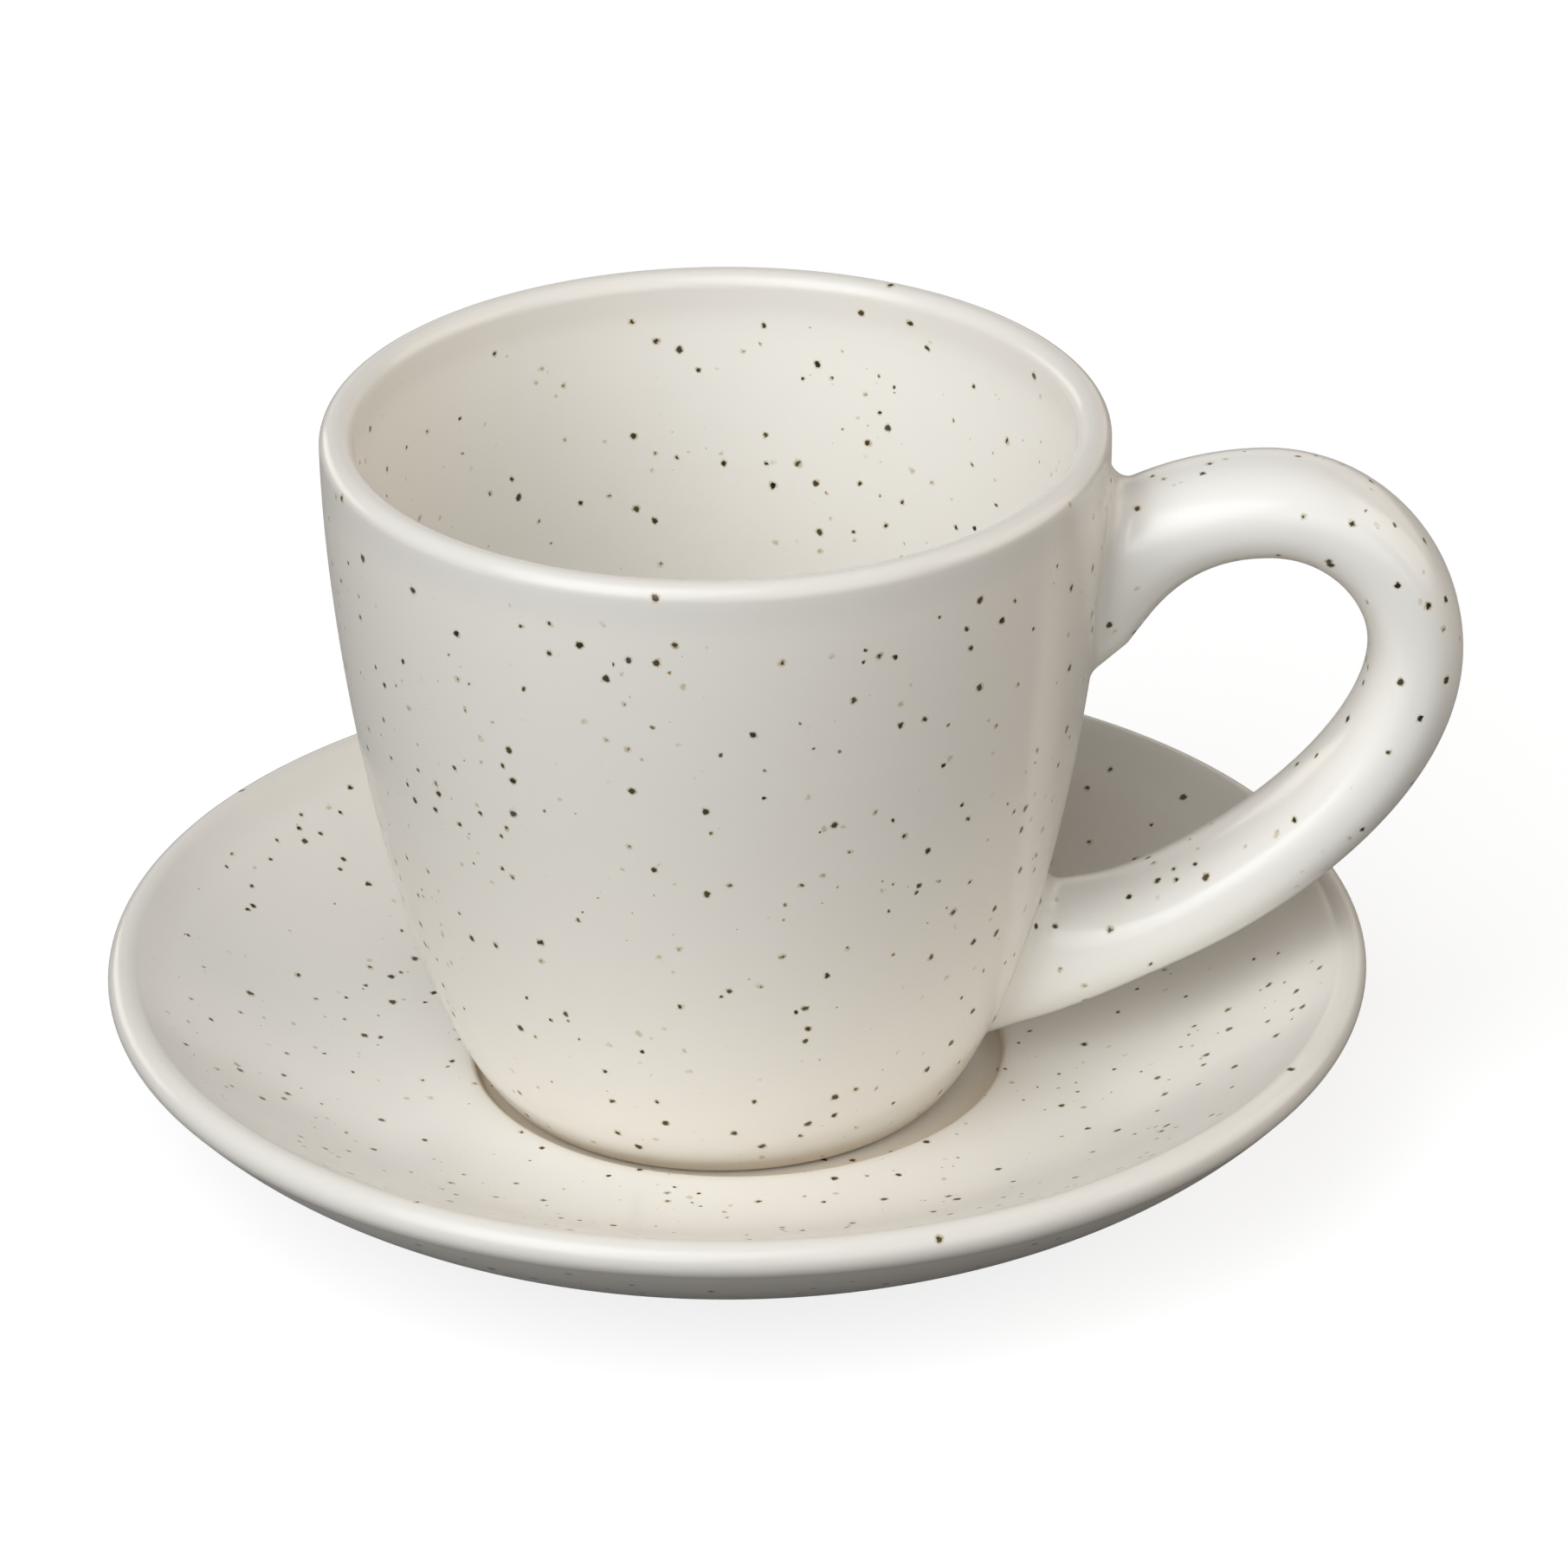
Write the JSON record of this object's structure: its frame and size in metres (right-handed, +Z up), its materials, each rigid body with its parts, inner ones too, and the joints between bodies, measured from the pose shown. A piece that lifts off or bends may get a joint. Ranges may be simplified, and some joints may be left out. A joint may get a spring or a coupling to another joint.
{
  "type": "espresso cup and saucer",
  "caption": "Stoneware espresso cup with a looped handle, standing loose in the shallow well of its dished saucer, both in an off-white glaze with dark iron speckles.",
  "frame": {"origin": "on the saucer's axis, on the table plane that its foot ring stands on", "axes": "+Z up along the saucer's axis, +X towards the cup's handle"},
  "size_m": [0.1156, 0.108, 0.0653],
  "materials": {
    "saucer_glaze": "satin-gloss off-white glaze with dark iron speckles",
    "cup_glaze": "satin-gloss off-white glaze with dark iron speckles",
    "handle_glaze": "satin-gloss off-white glaze with dark iron speckles"
  },
  "bodies": {
    "saucer": {"saucer": "saucer_glaze"},
    "cup": {"cup_body": "cup_glaze", "handle": "handle_glaze"}
  },
  "joints": [
    {"name": "cup_lift", "type": "slide", "parent": "saucer", "child": "cup", "axis": [0, 0, 1], "range_m": [0, 0.1]}
  ]
}
